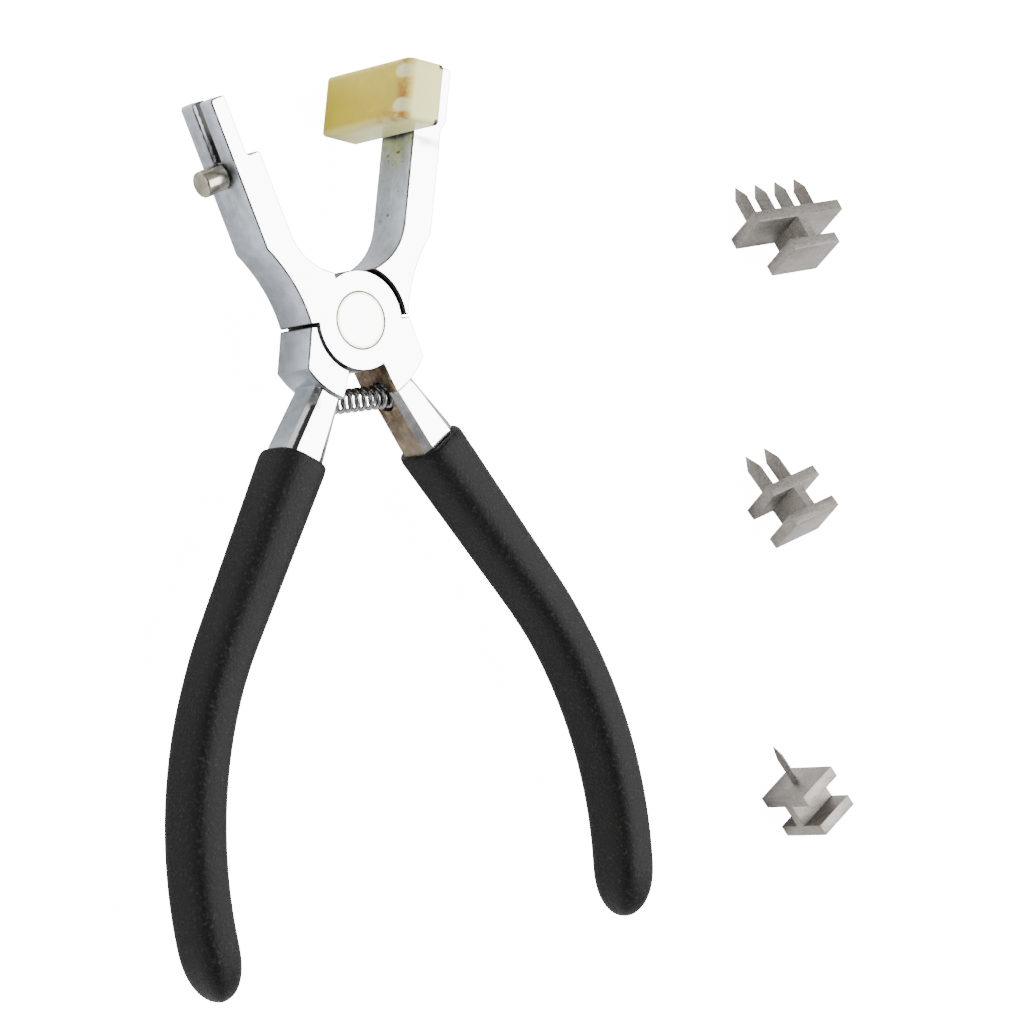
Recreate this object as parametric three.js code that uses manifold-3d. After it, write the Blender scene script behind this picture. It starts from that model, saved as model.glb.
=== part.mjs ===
// Stitch-punch pliers with two lapped levers, a nylon anvil block, a coil return spring,
// dipped grips and three loose punch dies.
// Millimetres. The pivot axis is +Z, the jaws point along +Y, and z = 0 is the rear flat of the joint.
import * as THREE from 'three';
import * as BufferGeometryUtils from 'three/addons/utils/BufferGeometryUtils.js';
import Module from 'manifold-3d';

const wasm = await Module();
wasm.setup();

// Driving dimensions.
const THICKNESS = 10.8;
const MID = THICKNESS / 2;
const RUNNING_GAP = 0.3;
const LEVER_GAP = 0.4;
const DISC_RADIUS = 9.7;
const JAW_RECESS_RADIUS = 10.5;
const ROOT_RECESS_RADIUS = 10.1;
const RIVET_RADIUS = 5.15;

const JAW_ANGLE = THREE.MathUtils.degToRad(16);
const JAW_INNER = 7.8;
const JAW_OUTER = 14.2;
const JAW_BEND = 19.8;
const THROAT_TOP = 21.6;
const SEAT_FACE = 10.8;
const SEAT_LEDGE = 37.4;
const FRONT_JAW_TIP = 49.6;
const SLOT_FLOOR = 37.7;
const SLOT_WIDTH = 2.5;
const HEAD_OUTER = 15.2;
const HEAD_START = 42.3;
const REAR_JAW_TIP = 52.6;

const BLOCK_THICKNESS = 8.4;
const BLOCK_LENGTH = 12;
const BLOCK_WIDTH = 28;
const BLOCK_BOTTOM = 38.4;
const BLOCK_FRONT_OVERHANG = 9;
const BLOCK_ROUND = 0.8;
const BLOCK_FRONT_ROUND = 2.3;
const ANVIL_SCREW_PITCH = 6.9;

const LOCK_HEAD_RADIUS = 2.6;
const LOCK_HEAD_LENGTH = 5;
const LOCK_SHANK_RADIUS = 1.5;
const LOCK_STATION = 35.2;

const BOSS_RADIUS = 15.7;
const HANDLE_ANGLE = THREE.MathUtils.degToRad(32.4);
const HANDLE_OFFSET = 0.2;
const HANDLE_STRAIGHT = 66;
const HANDLE_BEND_RADIUS = 90;
const NECK_WIDTH = 8.5;
const NECK_THICKNESS = 9.2;
const NECK_START = 15;
const NECK_FULL = 28;
const NECK_START_SCALE = 0.68;
const NECK_CHAMFER_SIDE = 1.6;
const NECK_CHAMFER_UP = 1.3;
const TANG_END = 112;
const NECK_HOLD = 40;
const TANG_END_SCALE = 0.66;

const GRIP_START = 29.3;
const GRIP_END = 135.5;
const GRIP_WIDTH = 10.9;
const GRIP_END_WIDTH = 9;
const GRIP_DEPTH = 13.6;
const GRIP_END_DEPTH = 12.6;
const GRIP_CORNER = 4;
const GRIP_TAPER_END = 76;
const GRIP_TIP_LENGTH = 11;
const GRIP_RIM_LENGTH = 1.6;

const SPRING_LINE = -14.8;
const SPRING_HALF_LENGTH = 9.8;
const SPRING_RADIUS = 2.1;
const SPRING_WIRE_RADIUS = 0.45;
const SPRING_TURNS = 11.5;
const SPRING_POCKET_RADIUS = 2.9;
const SPRING_POCKET_FLOOR = 10.1;

const DIE_PLATE = 2.6;
const DIE_WEB = 2.2;
const DIE_WEB_HEIGHT = 5;
const DIE_FACE_TOP = 2 * DIE_PLATE + DIE_WEB_HEIGHT;
const DIE_FOOT_WIDTH = 12.4;
const DIE_NARROW_FACE = 13.4;
const DIE_WIDE_FACE = 23.2;
const DIE_DEPTH = 10;
const PRONG_PITCH = 5.4;
const PRONG_LENGTH = 9.4;
const PRONG_POINT = 3.4;
const PRONG_RADIUS = 1.95;
const NEEDLE_RADIUS = 0.95;
const NEEDLE_LENGTH = 10;
const FLOOR = THICKNESS + BLOCK_FRONT_OVERHANG - BLOCK_WIDTH;

const JAW_ALONG = new THREE.Vector3(-Math.sin(JAW_ANGLE), Math.cos(JAW_ANGLE), 0);
const JAW_OUT = new THREE.Vector3(-Math.cos(JAW_ANGLE), -Math.sin(JAW_ANGLE), 0);
const UP = new THREE.Vector3(0, 0, 1);

// Materials.
const chrome = new THREE.MeshStandardMaterial({ color: 0xd9dce0, roughness: 0.16, metalness: 1 });
const nickel = new THREE.MeshStandardMaterial({ color: 0xc9c2b4, roughness: 0.28, metalness: 1 });
const rivetSteel = new THREE.MeshStandardMaterial({ color: 0xdcd8d2, roughness: 0.2, metalness: 1 });
const springSteel = new THREE.MeshStandardMaterial({ color: 0x85868a, roughness: 0.25, metalness: 1 });
const dieSteel = new THREE.MeshStandardMaterial({ color: 0x8f8b86, roughness: 0.55, metalness: 0.9 });
const nylon = new THREE.MeshStandardMaterial({ color: 0xc9b872, roughness: 0.4, metalness: 0 });
const vinyl = new THREE.MeshStandardMaterial({ color: 0x1c1d1e, roughness: 0.75, metalness: 0 });

// A closed geometry becomes a solid that can be cut and joined.
function solid(geometry) {
  const bare = geometry.clone();
  bare.deleteAttribute('normal');
  bare.deleteAttribute('uv');
  const merged = BufferGeometryUtils.mergeVertices(bare, 1e-4);
  const index = merged.index.array;
  const corners = [];
  for (let i = 0; i < index.length; i += 3) {
    const [a, b, c] = [index[i], index[i + 1], index[i + 2]];
    if (a !== b && b !== c && c !== a) corners.push(a, b, c);
  }
  const mesh = new wasm.Mesh({
    numProp: 3,
    vertProperties: new Float32Array(merged.attributes.position.array),
    triVerts: new Uint32Array(corners),
  });
  return new wasm.Manifold(mesh);
}

function part(name, body, material) {
  const cut = body.getMesh();
  const geometry = new THREE.BufferGeometry();
  geometry.setAttribute('position', new THREE.BufferAttribute(new Float32Array(cut.vertProperties), 3));
  geometry.setIndex(new THREE.BufferAttribute(new Uint32Array(cut.triVerts), 1));
  geometry.computeVertexNormals();
  const mesh = new THREE.Mesh(geometry, material);
  mesh.name = name;
  return mesh;
}

function prism(shape, low, high, curveSegments = 24) {
  const depth = high - low;
  const geometry = new THREE.ExtrudeGeometry(shape, { depth, bevelEnabled: false, curveSegments });
  geometry.translate(0, 0, low);
  return geometry;
}

function disc(radius, low, high) {
  const shape = new THREE.Shape();
  shape.absarc(0, 0, radius, 0, 2 * Math.PI);
  return prism(shape, low, high, 32);
}

function roundedRectangle(left, right, bottom, top, innerRadius, outerRadius) {
  const shape = new THREE.Shape();
  shape.absarc(left + outerRadius, bottom + outerRadius, outerRadius, Math.PI, 1.5 * Math.PI);
  shape.absarc(right - innerRadius, bottom + innerRadius, innerRadius, 1.5 * Math.PI, 2 * Math.PI);
  shape.absarc(right - innerRadius, top - innerRadius, innerRadius, 0, 0.5 * Math.PI);
  shape.absarc(left + outerRadius, top - outerRadius, outerRadius, 0.5 * Math.PI, Math.PI);
  shape.closePath();
  return shape;
}

// The jaw's own directions: along it from the pivot, and outwards from the throat.
function jawPoint(along, out) {
  const place = JAW_ALONG.clone().multiplyScalar(along).addScaledVector(JAW_OUT, out);
  return new THREE.Vector2(place.x, place.y);
}

// A prism drawn in (out, z) and extruded along the jaw.
function alongJaw(shape, low, high) {
  const geometry = prism(shape, low, high, 6);
  geometry.applyMatrix4(new THREE.Matrix4().makeBasis(JAW_OUT, UP, JAW_ALONG));
  return geometry;
}

// A turned piece whose axis runs outwards across the jaw at one station, at mid thickness.
function acrossJaw(profile, station) {
  const outline = profile.map(([radius, out]) => new THREE.Vector2(radius, out));
  const geometry = new THREE.LatheGeometry(outline, 24);
  geometry.applyMatrix4(new THREE.Matrix4().makeBasis(UP, JAW_OUT, JAW_ALONG.clone().negate()));
  const place = JAW_ALONG.clone().multiplyScalar(station);
  geometry.translate(place.x, place.y, MID);
  return geometry;
}

function pin(radius, low, high) {
  return [[0, low], [radius, low], [radius, high], [0, high]];
}

// The handle's centre line: straight from the joint, then an arc that turns back towards the axis.
function handleFrame(station) {
  const turn = Math.max(0, station - HANDLE_STRAIGHT) / HANDLE_BEND_RADIUS;
  const angle = HANDLE_ANGLE - turn;
  const side = new THREE.Vector2(Math.cos(angle), Math.sin(angle));
  const startSide = new THREE.Vector2(Math.cos(HANDLE_ANGLE), Math.sin(HANDLE_ANGLE));
  const startAlong = new THREE.Vector2(Math.sin(HANDLE_ANGLE), -Math.cos(HANDLE_ANGLE));
  const centre = startAlong.clone().multiplyScalar(Math.min(station, HANDLE_STRAIGHT));
  centre.addScaledVector(startSide, HANDLE_OFFSET - (turn > 0 ? HANDLE_BEND_RADIUS : 0));
  if (turn > 0) centre.addScaledVector(side, HANDLE_BEND_RADIUS);
  return { centre, side };
}

// A section drawn in (side, z) and swept down the handle, scaled at each station.
function alongHandle(section, low, high, steps, scaleAt, curveSegments = 5) {
  const geometry = new THREE.ExtrudeGeometry(section, {
    depth: high - low, steps, bevelEnabled: false, curveSegments,
  });
  const position = geometry.attributes.position;
  for (let i = 0; i < position.count; i += 1) {
    const station = low + position.getZ(i);
    const { centre, side } = handleFrame(station);
    const scale = scaleAt(station);
    const reach = position.getX(i) * scale.side;
    const height = MID + position.getY(i) * scale.up;
    position.setXYZ(i, centre.x + side.x * reach, centre.y + side.y * reach, height);
  }
  return geometry;
}

// Bar section with chamfered corners, grown all round by a clearance.
function tangSection(clearance) {
  const x = NECK_WIDTH / 2 + clearance;
  const y = NECK_THICKNESS / 2 + clearance;
  const [innerX, innerY] = [x - NECK_CHAMFER_SIDE, y - NECK_CHAMFER_UP];
  const shape = new THREE.Shape();
  shape.moveTo(-innerX, -y);
  shape.lineTo(innerX, -y);
  shape.lineTo(x, -innerY);
  shape.lineTo(x, innerY);
  shape.lineTo(innerX, y);
  shape.lineTo(-innerX, y);
  shape.lineTo(-x, innerY);
  shape.lineTo(-x, -innerY);
  shape.closePath();
  return shape;
}

// The neck widens from the joint to the grip, and the tang narrows inside the grip.
function tangScale(station) {
  if (station < NECK_FULL) {
    const widened = Math.max(0, (station - NECK_START) / (NECK_FULL - NECK_START));
    return { side: NECK_START_SCALE + (1 - NECK_START_SCALE) * widened, up: 1 };
  }
  const narrowed = Math.max(0, (station - NECK_HOLD) / (TANG_END - NECK_HOLD));
  return { side: 1 - (1 - TANG_END_SCALE) * narrowed, up: 1 - 0.5 * (1 - TANG_END_SCALE) * narrowed };
}

// Jaw from the joint to its tip; the corners of its upper end are given in jaw directions.
function jaw(upperEnd) {
  const shape = new THREE.Shape();
  const bend = jawPoint(JAW_BEND, JAW_OUTER);
  const throat = jawPoint(THROAT_TOP, JAW_INNER);
  shape.moveTo(-8.5, LEVER_GAP / 2);
  shape.lineTo(-4.2, 7.6);
  shape.lineTo(-4.5, 9.5);
  shape.quadraticCurveTo(-11.7, 11.6, throat.x, throat.y);
  for (const [along, out] of upperEnd) {
    const corner = jawPoint(along, out);
    shape.lineTo(corner.x, corner.y);
  }
  shape.lineTo(bend.x, bend.y);
  shape.quadraticCurveTo(-12.9, 8.2, -11.4, LEVER_GAP / 2);
  shape.closePath();
  return solid(prism(shape, 0, THICKNESS, 10));
}

// Full-thickness shoulder beside the joint, ending in an arc concentric with the pivot.
function shoulder() {
  const shape = new THREE.Shape();
  shape.moveTo(8.5, -LEVER_GAP / 2);
  shape.lineTo(3.6, -8);
  shape.lineTo(4.9, -11.5);
  shape.absarc(0, 0, BOSS_RADIUS, -Math.atan2(14.5, 6.2), -Math.atan2(8, 13.5), false);
  shape.lineTo(12.1, -2.7);
  shape.lineTo(11.5, -LEVER_GAP / 2);
  shape.closePath();
  return solid(prism(shape, 0, THICKNESS, 16));
}

function tang() {
  return solid(alongHandle(tangSection(0), NECK_START, TANG_END, 30, tangScale));
}

// Room for the other lever's half-thickness disc.
function lapRecess() {
  const shape = new THREE.Shape();
  shape.absarc(0, 0, JAW_RECESS_RADIUS, 0, Math.PI);
  shape.absarc(0, 0, ROOT_RECESS_RADIUS, Math.PI, 2 * Math.PI);
  shape.closePath();
  return solid(prism(shape, -1, MID + RUNNING_GAP / 2, 32));
}

function springPocket() {
  const [radius, depth] = [SPRING_POCKET_RADIUS, SPRING_POCKET_FLOOR];
  const geometry = new THREE.CylinderGeometry(radius, radius, depth, 20);
  geometry.rotateZ(Math.PI / 2);
  geometry.translate(depth / 2, SPRING_LINE, MID);
  return solid(geometry);
}

// One forging: jaw on the left, half-thickness disc in front, shoulder, neck and tang on the right.
function lever(upperEnd) {
  const blank = jaw(upperEnd).add(shoulder()).add(tang()).subtract(lapRecess());
  const lap = solid(disc(DISC_RADIUS, MID + RUNNING_GAP / 2, THICKNESS));
  const pivotHole = solid(disc(RIVET_RADIUS + RUNNING_GAP, -1, THICKNESS + 1));
  return blank.add(lap).subtract(pivotHole).subtract(springPocket());
}

function frontLever() {
  const upperEnd = [
    [SEAT_LEDGE, JAW_INNER],
    [SEAT_LEDGE, SEAT_FACE],
    [FRONT_JAW_TIP, SEAT_FACE],
    [FRONT_JAW_TIP, JAW_OUTER],
  ];
  const half = SLOT_WIDTH / 2;
  const slotSection = roundedRectangle(0, JAW_OUTER + 4, MID - half, MID + half, 0.1, 0.1);
  const slot = solid(alongJaw(slotSection, SLOT_FLOOR, FRONT_JAW_TIP + 1));
  const screwBore = pin(LOCK_SHANK_RADIUS + RUNNING_GAP, JAW_INNER + 0.9, JAW_OUTER + 1);
  const screwHole = solid(acrossJaw(screwBore, LOCK_STATION));
  return part('front_lever', lever(upperEnd).subtract(slot).subtract(screwHole), chrome);
}

function anvilScrewStations() {
  const middle = BLOCK_BOTTOM + BLOCK_LENGTH / 2;
  return [middle + ANVIL_SCREW_PITCH / 2, middle - ANVIL_SCREW_PITCH / 2];
}

// Stepped hole for one anvil screw, from inside the block to the back of the jaw head.
function anvilScrewHole(station) {
  const profile = [
    [0, JAW_INNER - 5.3],
    [1.8, JAW_INNER - 5.3],
    [1.8, HEAD_OUTER - 1.9],
    [3, HEAD_OUTER - 1.9],
    [3, HEAD_OUTER + 1],
    [0, HEAD_OUTER + 1],
  ];
  return solid(acrossJaw(profile, station));
}

function rearLever() {
  const upperEnd = [
    [REAR_JAW_TIP, JAW_INNER],
    [REAR_JAW_TIP, HEAD_OUTER],
    [HEAD_START, HEAD_OUTER],
    [HEAD_START - 2.3, JAW_OUTER],
  ];
  let body = lever(upperEnd);
  for (const station of anvilScrewStations()) body = body.subtract(anvilScrewHole(station));
  return part('rear_lever', body, chrome);
}

// Drawn in (out, z): only the front edge of the working face is well rounded.
function blockSection(inner, outer, front, back) {
  const [small, large] = [BLOCK_ROUND, BLOCK_FRONT_ROUND];
  const shape = new THREE.Shape();
  shape.absarc(inner + large, front + large, large, Math.PI, 1.5 * Math.PI);
  shape.absarc(outer - small, front + small, small, 1.5 * Math.PI, 2 * Math.PI);
  shape.absarc(outer - small, back - small, small, 0, 0.5 * Math.PI);
  shape.absarc(inner + small, back - small, small, 0.5 * Math.PI, Math.PI);
  shape.closePath();
  return shape;
}

function anvilBlock() {
  const face = JAW_INNER - RUNNING_GAP;
  const low = -BLOCK_FRONT_OVERHANG;
  const section = blockSection(face - BLOCK_THICKNESS, face, low, low + BLOCK_WIDTH);
  let body = solid(alongJaw(section, BLOCK_BOTTOM, BLOCK_BOTTOM + BLOCK_LENGTH));
  for (const station of anvilScrewStations()) body = body.subtract(anvilScrewHole(station));
  return part('anvil_block', body, nylon);
}

function anvilScrew(name, station) {
  const profile = [
    [0, JAW_INNER - 5],
    [1.5, JAW_INNER - 5],
    [1.5, HEAD_OUTER - 1.6],
    [2.7, HEAD_OUTER - 1.6],
    [2.7, HEAD_OUTER - 0.3],
    [2.3, HEAD_OUTER],
    [0, HEAD_OUTER],
  ];
  const slotSection = roundedRectangle(HEAD_OUTER - 0.8, HEAD_OUTER + 1, MID - 3, MID + 3, 0.1, 0.1);
  const driveSlot = solid(alongJaw(slotSection, station - 0.4, station + 0.4));
  return part(name, solid(acrossJaw(profile, station)).subtract(driveSlot), nickel);
}

function dieLockScrew() {
  const headStart = JAW_OUTER + RUNNING_GAP;
  const profile = [
    [0, JAW_INNER + 1.2],
    [LOCK_SHANK_RADIUS, JAW_INNER + 1.2],
    [LOCK_SHANK_RADIUS, headStart],
    [LOCK_HEAD_RADIUS, headStart],
    [LOCK_HEAD_RADIUS, headStart + LOCK_HEAD_LENGTH - 0.3],
    [LOCK_HEAD_RADIUS - 0.3, headStart + LOCK_HEAD_LENGTH],
    [0, headStart + LOCK_HEAD_LENGTH],
  ];
  return part('die_lock_screw', solid(acrossJaw(profile, LOCK_STATION)), nickel);
}

function pivotRivet() {
  return part('pivot_rivet', solid(disc(RIVET_RADIUS, 0, THICKNESS)), rivetSteel);
}

// Dipped sleeve: rolled rim, gentle taper down the handle, and a rounded closed end.
function gripScale(station) {
  const fromRim = Math.min(1, (station - GRIP_START) / GRIP_RIM_LENGTH);
  const intoTip = Math.max(0, (station - (GRIP_END - GRIP_TIP_LENGTH)) / GRIP_TIP_LENGTH);
  const rim = 0.94 + 0.06 * Math.sqrt(1 - (1 - fromRim) ** 2);
  const tip = Math.sqrt(1 - 0.9 * intoTip ** 2.2);
  const down = Math.min(1, (station - GRIP_START) / (GRIP_TAPER_END - GRIP_START));
  const narrower = 1 - (1 - GRIP_END_WIDTH / GRIP_WIDTH) * down;
  const shallower = 1 - (1 - GRIP_END_DEPTH / GRIP_DEPTH) * down;
  return { side: rim * tip * narrower, up: rim * tip * shallower };
}

function grip(name) {
  const [x, y] = [GRIP_WIDTH / 2, GRIP_DEPTH / 2];
  const skin = roundedRectangle(-x, x, -y, y, GRIP_CORNER, GRIP_CORNER);
  const outside = solid(alongHandle(skin, GRIP_START, GRIP_END, 32, gripScale, 4));
  const bore = tangSection(RUNNING_GAP * 1.3);
  const inside = solid(alongHandle(bore, GRIP_START - 1, TANG_END + 0.5, 30, tangScale));
  return part(name, outside.subtract(inside), vinyl);
}

class Helix extends THREE.Curve {
  getPoint(t, target = new THREE.Vector3()) {
    const angle = t * SPRING_TURNS * 2 * Math.PI;
    const reach = SPRING_HALF_LENGTH - SPRING_WIRE_RADIUS;
    return target.set((2 * t - 1) * reach, SPRING_RADIUS * Math.cos(angle), SPRING_RADIUS * Math.sin(angle));
  }
}

function returnSpring() {
  const wire = new THREE.Shape();
  wire.absarc(0, 0, SPRING_WIRE_RADIUS, 0, 2 * Math.PI);
  const geometry = new THREE.ExtrudeGeometry(wire, {
    steps: Math.round(SPRING_TURNS * 10), bevelEnabled: false, curveSegments: 3, extrudePath: new Helix(),
  });
  geometry.translate(0, SPRING_LINE, MID);
  const mesh = new THREE.Mesh(geometry, springSteel);
  mesh.name = 'return_spring';
  return mesh;
}

// H-section of a die in its own frame: foot plate below, web, face plate above, prongs upwards.
function dieSection(faceWidth) {
  const [foot, web, face] = [DIE_FOOT_WIDTH / 2, DIE_WEB / 2, faceWidth / 2];
  const faceBottom = DIE_PLATE + DIE_WEB_HEIGHT;
  const shape = new THREE.Shape();
  shape.moveTo(-foot, 0);
  shape.lineTo(foot, 0);
  shape.lineTo(foot, DIE_PLATE);
  shape.lineTo(web, DIE_PLATE);
  shape.lineTo(web, faceBottom);
  shape.lineTo(face, faceBottom);
  shape.lineTo(face, faceBottom + DIE_PLATE);
  shape.lineTo(-face, faceBottom + DIE_PLATE);
  shape.lineTo(-face, faceBottom);
  shape.lineTo(-web, faceBottom);
  shape.lineTo(-web, DIE_PLATE);
  shape.lineTo(-foot, DIE_PLATE);
  shape.closePath();
  return solid(prism(shape, 0, DIE_DEPTH));
}

// A prong of diamond section with a four-sided point.
function prong(offset, radius, length) {
  const base = DIE_FACE_TOP - 0.5;
  const shaft = length - PRONG_POINT + 0.5;
  const profile = [[0, base], [radius, base], [radius, base + shaft], [0, base + shaft + PRONG_POINT]];
  const geometry = new THREE.LatheGeometry(profile.map(([r, y]) => new THREE.Vector2(r, y)), 4);
  geometry.translate(offset, 0, DIE_DEPTH / 2);
  return solid(geometry);
}

// One piece of steel: the foot and web slide into the jaw, and the prongs stand on the face plate.
function die(name, faceWidth, prongCount, radius, length) {
  let body = dieSection(faceWidth);
  for (let i = 0; i < prongCount; i += 1) {
    body = body.add(prong((i - (prongCount - 1) / 2) * PRONG_PITCH, radius, length));
  }
  return part(name, body, dieSteel);
}

// Centres a turned piece over a spot and lowers it until its lowest corner touches the floor.
function restOnFloor(mesh, x, y) {
  const box = new THREE.Box3().setFromObject(mesh, true);
  const centre = box.getCenter(new THREE.Vector3());
  mesh.position.add(new THREE.Vector3(x - centre.x, y - centre.y, FLOOR - box.min.z));
}

// A pronged die rests on the edge of its face plate and on its points, tipped over by this angle.
const TIP_ANGLE = Math.atan2(DIE_DEPTH / 2, PRONG_LENGTH);

function tippedOnPoints(mesh, x, y, turn) {
  mesh.rotation.order = 'ZYX';
  mesh.rotation.set(-TIP_ANGLE, 0, THREE.MathUtils.degToRad(turn));
  restOnFloor(mesh, x, y);
  return mesh;
}

// The needle die stands on the ends of its two plates, needle level.
function standingOnPlateEnds(mesh, x, y, turn) {
  mesh.rotation.order = 'ZYX';
  mesh.rotation.set(0, -Math.PI / 2, THREE.MathUtils.degToRad(turn));
  restOnFloor(mesh, x, y);
  return mesh;
}

// The front side holds what turns with the front lever; the rear side is the same forging turned over.
const frontSide = new THREE.Group();
frontSide.add(frontLever(), dieLockScrew(), grip('right_grip'));

const rearSide = new THREE.Group();
const [upperStation, lowerStation] = anvilScrewStations();
rearSide.add(rearLever(), anvilBlock(), grip('left_grip'));
rearSide.add(anvilScrew('anvil_screw_upper', upperStation), anvilScrew('anvil_screw_lower', lowerStation));
rearSide.rotation.y = Math.PI;
rearSide.position.z = THICKNESS;

const looseDies = new THREE.Group();
looseDies.add(
  tippedOnPoints(die('die_four_prong', DIE_WIDE_FACE, 4, PRONG_RADIUS, PRONG_LENGTH), 120.6, 10.7, 2.5),
  tippedOnPoints(die('die_two_prong', DIE_NARROW_FACE, 2, PRONG_RADIUS, PRONG_LENGTH), 110.5, -45, 13),
  standingOnPlateEnds(die('die_one_prong', DIE_NARROW_FACE, 1, NEEDLE_RADIUS, NEEDLE_LENGTH), 104, -105, 31),
);

const pliers = new THREE.Group();
pliers.add(frontSide, rearSide, pivotRivet(), returnSpring(), looseDies);

export default pliers;
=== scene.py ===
# Stitch-hole punching pliers with a nylon anvil block, dipped grips and three loose dies.
# The punched work goes between the slotted jaw on the left and the anvil block on the right.
import math
import bmesh
import bpy
from mathutils import Matrix, Vector


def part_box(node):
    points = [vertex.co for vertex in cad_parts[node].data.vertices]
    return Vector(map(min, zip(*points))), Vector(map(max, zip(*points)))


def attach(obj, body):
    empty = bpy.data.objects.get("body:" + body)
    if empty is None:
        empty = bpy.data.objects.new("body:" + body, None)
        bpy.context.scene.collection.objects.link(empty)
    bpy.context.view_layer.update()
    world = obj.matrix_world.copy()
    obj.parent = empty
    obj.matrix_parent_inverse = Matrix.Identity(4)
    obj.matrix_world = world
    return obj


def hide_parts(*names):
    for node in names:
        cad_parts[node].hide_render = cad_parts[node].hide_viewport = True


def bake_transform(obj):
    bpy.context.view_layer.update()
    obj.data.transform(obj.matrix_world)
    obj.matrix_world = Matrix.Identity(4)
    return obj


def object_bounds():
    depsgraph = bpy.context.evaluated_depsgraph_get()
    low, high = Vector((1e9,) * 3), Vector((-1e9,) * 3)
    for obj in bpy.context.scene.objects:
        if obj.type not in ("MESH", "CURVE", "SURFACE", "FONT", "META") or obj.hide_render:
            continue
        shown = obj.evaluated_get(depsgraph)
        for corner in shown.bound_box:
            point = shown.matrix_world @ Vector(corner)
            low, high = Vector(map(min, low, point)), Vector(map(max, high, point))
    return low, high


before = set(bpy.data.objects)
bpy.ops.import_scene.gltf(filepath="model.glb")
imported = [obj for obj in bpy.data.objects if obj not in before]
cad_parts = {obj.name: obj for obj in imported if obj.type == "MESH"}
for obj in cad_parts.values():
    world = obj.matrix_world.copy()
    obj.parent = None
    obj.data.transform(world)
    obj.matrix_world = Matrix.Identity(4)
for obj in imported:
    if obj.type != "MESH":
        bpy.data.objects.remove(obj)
cad_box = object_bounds()


# The view: a long lens that looks down on the tool from its left and above, rolled a few degrees
# so that the tool stands a little aslant.
aim = Vector((0.0335, -0.0402, 0.0054))
camera_distance = 0.8798
camera_height_angle = math.radians(53.27)
camera_side_angle = math.radians(178.92)
camera_roll = math.radians(-7.616)
outward = Vector((
    math.cos(camera_height_angle) * math.cos(camera_side_angle),
    math.cos(camera_height_angle) * math.sin(camera_side_angle),
    math.sin(camera_height_angle),
))
across = Vector((0, 1, 0)).cross(outward).normalized()
upright = outward.cross(across)
turned = Matrix.Rotation(camera_roll, 3, outward)
axes = Matrix((turned @ across, turned @ upright, outward)).transposed()
camera_data = bpy.data.cameras.new("camera")
camera_data.lens = 158.2
camera_data.clip_end = 10
camera = bpy.data.objects.new("camera", camera_data)
camera.matrix_world = Matrix.Translation(aim + camera_distance * outward) @ axes.to_4x4()
bpy.context.scene.collection.objects.link(camera)
bpy.context.scene.camera = camera


# Levers: two drop-forged steel halves of one pattern, chrome plated. The flats are ground before
# plating, and the sawn and forged edges are softened by the polishing wheel.
lever_edge_round = 0.00026
lever_edge_angle = math.radians(60)
jaw_angle = math.radians(16)
jaw_along = Vector((math.sin(jaw_angle), math.cos(jaw_angle), 0))
jaw_out = Vector((math.cos(jaw_angle), -math.sin(jaw_angle), 0))
left_jaw_tip = 0.0496
right_jaw_tip = 0.0526
seat_ledge = 0.0374
corner_round = 0.0007
slot_wall_height = 0.00415
slot_shade_reach = 0.0137
joint_reach = 0.0107
lapped_height = 0.0046
block_shadow_low = 0.0356
block_shadow_high = 0.0378
neck_line_height = 0.00958
neck_knot = Vector((-0.0124, -0.0147, 0.0094))
pivot = Vector((0, 0, 0.0054))


def shade(value, tint=(1, 1, 1)):
    return (value * tint[0], value * tint[1], value * tint[2], 1)


def new_material(name, roughness, metallic):
    material = bpy.data.materials.new(name)
    material.use_nodes = True
    shader = material.node_tree.nodes["Principled BSDF"]
    shader.inputs["Roughness"].default_value = roughness
    shader.inputs["Metallic"].default_value = metallic
    return material, material.node_tree, shader


def object_noise(tree, scale, detail=4, roughness=0.55, stretch=(1, 1, 1), place=(0, 0, 0)):
    """Noise on the piece's own coordinates, in features per metre."""
    coordinates = tree.nodes.new("ShaderNodeTexCoord")
    mapping = tree.nodes.new("ShaderNodeMapping")
    mapping.inputs["Scale"].default_value = stretch
    mapping.inputs["Location"].default_value = place
    noise = tree.nodes.new("ShaderNodeTexNoise")
    noise.inputs["Scale"].default_value = scale
    noise.inputs["Detail"].default_value = detail
    noise.inputs["Roughness"].default_value = roughness
    tree.links.new(coordinates.outputs["Object"], mapping.inputs["Vector"])
    tree.links.new(mapping.outputs["Vector"], noise.inputs["Vector"])
    return noise.outputs["Fac"]


def ramp(tree, value, stops):
    """Colour stops as (position, colour)."""
    node = tree.nodes.new("ShaderNodeValToRGB")
    elements = node.color_ramp.elements
    elements[0].position, elements[0].color = stops[0]
    elements[1].position, elements[1].color = stops[-1]
    for position, colour in stops[1:-1]:
        elements.new(position).color = colour
    tree.links.new(value, node.inputs["Fac"])
    return node.outputs["Color"]


def blend_colours(tree, amount, first, second):
    """Mixes two colours; amount is a socket or a number, and each colour a socket or a value."""
    node = tree.nodes.new("ShaderNodeMix")
    node.data_type = "RGBA"
    for socket, value in ((node.inputs[0], amount), (node.inputs[6], first), (node.inputs[7], second)):
        if isinstance(value, bpy.types.NodeSocket):
            tree.links.new(value, socket)
        else:
            socket.default_value = value
    return node.outputs[2]


def maths(tree, operation, first, second=0.0):
    """One sum; each value is a socket or a number."""
    node = tree.nodes.new("ShaderNodeMath")
    node.operation = operation
    for socket, value in ((node.inputs[0], first), (node.inputs[1], second)):
        if isinstance(value, bpy.types.NodeSocket):
            tree.links.new(value, socket)
        else:
            socket.default_value = value
    return node.outputs[0]


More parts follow.
